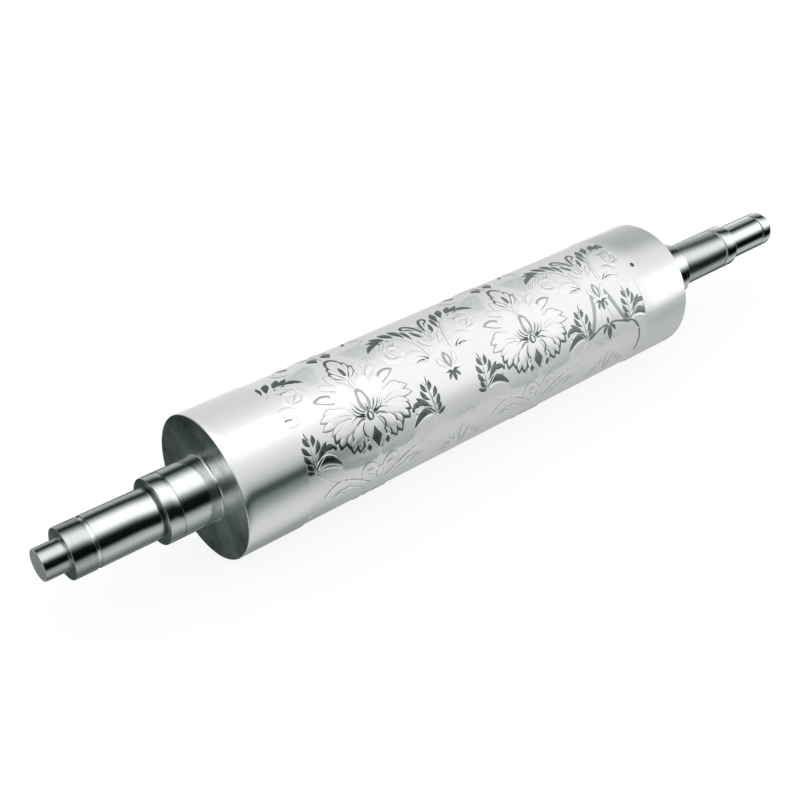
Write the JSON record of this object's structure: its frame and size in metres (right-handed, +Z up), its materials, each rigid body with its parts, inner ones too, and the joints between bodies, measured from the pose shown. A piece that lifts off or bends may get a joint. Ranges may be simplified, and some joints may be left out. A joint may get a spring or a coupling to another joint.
{
  "type": "embossing roller",
  "caption": "Solid steel embossing roller, its barrel engraved with a raised floral damask, with collars, bearing seats and ring grooves turned at both ends.",
  "frame": {"origin": "on the roller's axis at the middle of the near bearing seat", "axes": "+X along the axis from the drive stub to the far reduced end, +Z up"},
  "size_m": [1.098, 0.16, 0.16],
  "materials": {
    "polished_steel": "bright polished relief, bands and journals over a satin engraved ground"
  },
  "bodies": {
    "root": {"embossing_roller": "polished_steel"}
  },
  "joints": []
}
